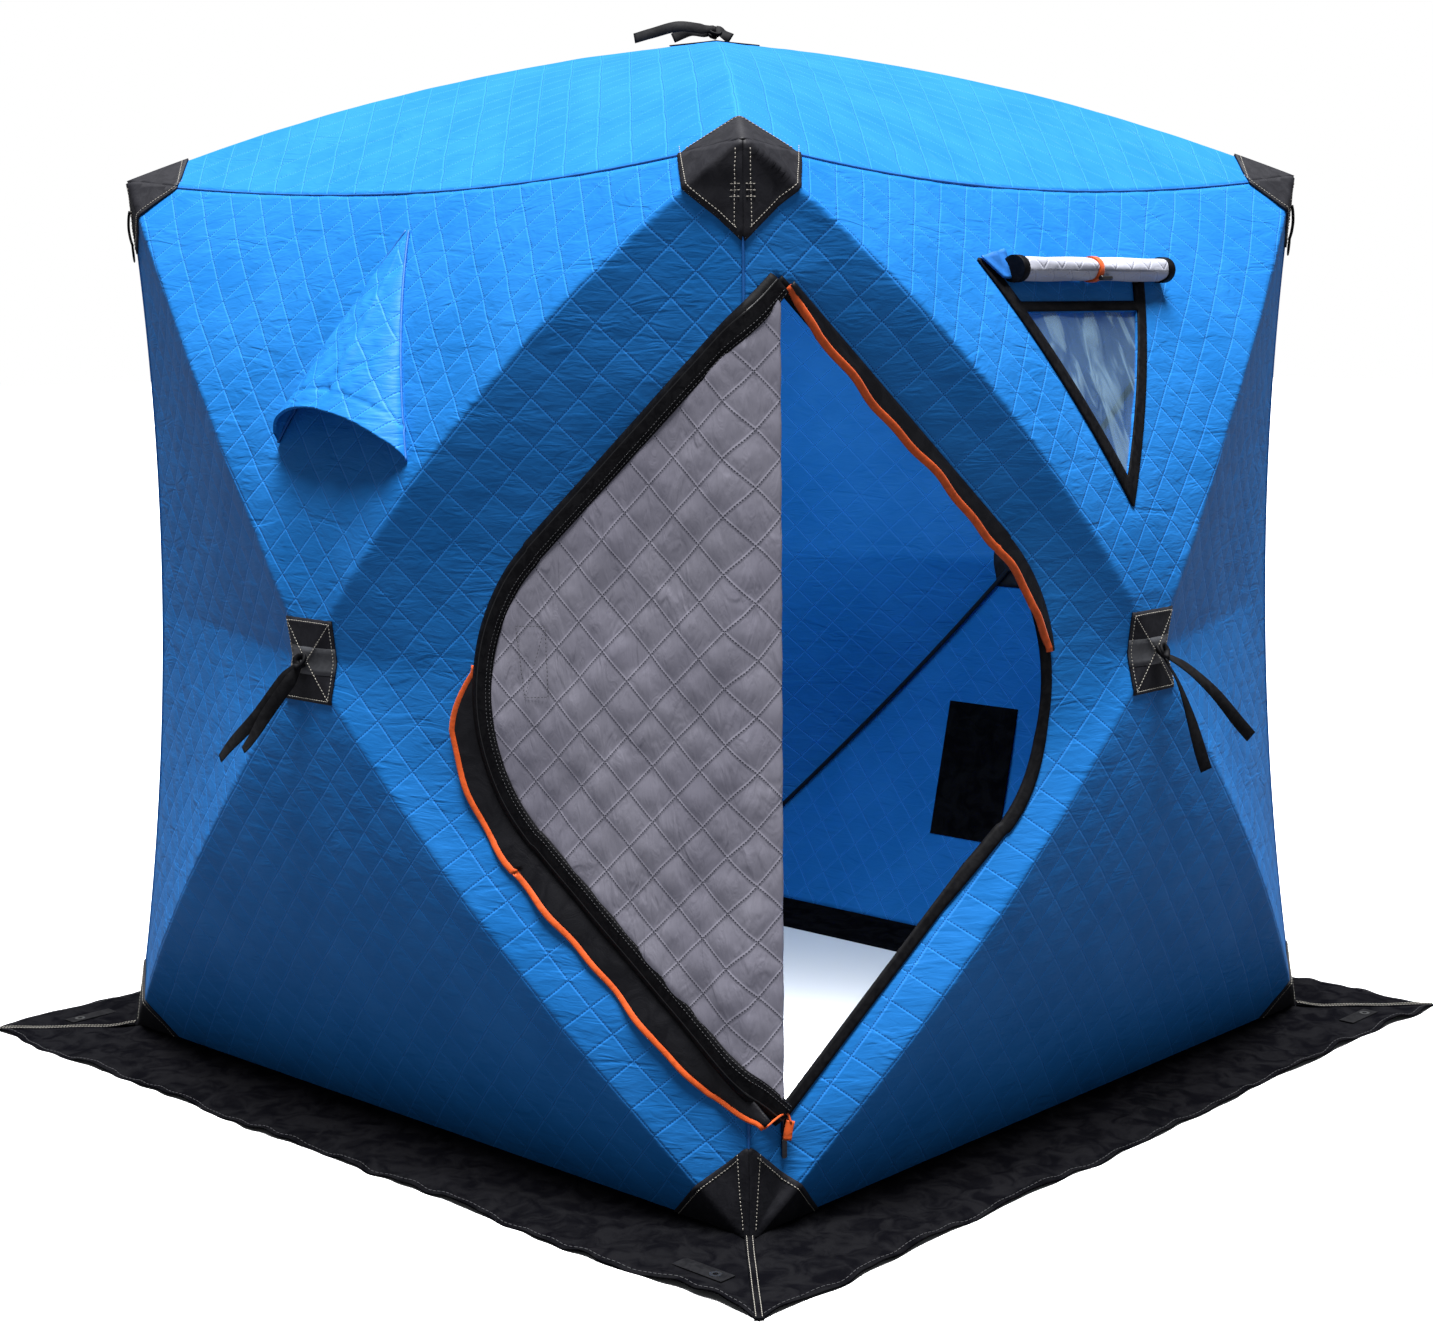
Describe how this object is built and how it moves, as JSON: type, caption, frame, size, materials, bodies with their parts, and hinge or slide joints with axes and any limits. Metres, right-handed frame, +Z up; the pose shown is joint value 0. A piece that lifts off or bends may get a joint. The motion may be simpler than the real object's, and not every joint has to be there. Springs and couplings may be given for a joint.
{
  "type": "pop-up ice fishing hut",
  "caption": "Pop-up quilted fishing hut with hub-pushed walls and roof, a zipped corner door folded open, a window, a vent hood and a ground skirt.",
  "frame": {"origin": "on the ground under the roof hub, at the middle of the square floor", "axes": "+Z up, the front wall faces -Y and the right wall, with the doorway, faces +X"},
  "size_m": [2.3754, 2.3754, 2.1305],
  "materials": {
    "quilt_blue": "quilted polyester outer cloth over wadding, satin sheen",
    "lining_grey": "quilted grey lining cloth",
    "black_cloth": "black woven polyester",
    "webbing": "black nylon webbing",
    "zip_tape": "black zip tape with coil teeth",
    "storm_cloth": "coated black cloth with orange binding",
    "pole_rod": "dark glass fibre rod",
    "hub_plastic": "black moulded nylon",
    "clear_vinyl": "clear flexible vinyl",
    "cover_white": "white lining of the rolled cover",
    "orange_cord": "orange elastic tie",
    "steel": "plated eyelet"
  },
  "bodies": {
    "root": {"front_wall": "quilt_blue", "front_poles": "pole_rod", "front_hub": "hub_plastic", "front_skirt": "black_cloth", "right_wall": "quilt_blue", "right_poles": "pole_rod", "right_hub": "hub_plastic", "right_skirt": "black_cloth", "back_wall": "quilt_blue", "back_poles": "pole_rod", "back_hub": "hub_plastic", "back_skirt": "black_cloth", "left_wall": "quilt_blue", "left_poles": "pole_rod", "left_hub": "hub_plastic", "left_skirt": "black_cloth", "near_top_patch": "black_cloth", "near_base_patch": "black_cloth", "right_top_patch": "black_cloth", "right_base_patch": "black_cloth", "back_top_patch": "black_cloth", "back_base_patch": "black_cloth", "left_top_patch": "black_cloth", "left_base_patch": "black_cloth", "roof": "quilt_blue", "roof_poles": "pole_rod", "roof_hub": "hub_plastic", "hub_patches": "black_cloth", "floor_sill": "black_cloth", "corner_tabs": "webbing", "anchor_grommets": "steel", "door_flap": "lining_grey", "door_flap_tape": "zip_tape", "doorway_zip": "zip_tape", "upper_storm_flap": "storm_cloth", "lower_storm_flap": "storm_cloth", "zip_slider": "steel", "window_frame": "zip_tape", "window_pane": "clear_vinyl", "window_cover_roll": "cover_white", "window_tie": "orange_cord", "vent_hood": "quilt_blue", "hub_straps": "webbing", "corner_pulls": "webbing", "inner_pocket": "black_cloth"}
  },
  "joints": []
}
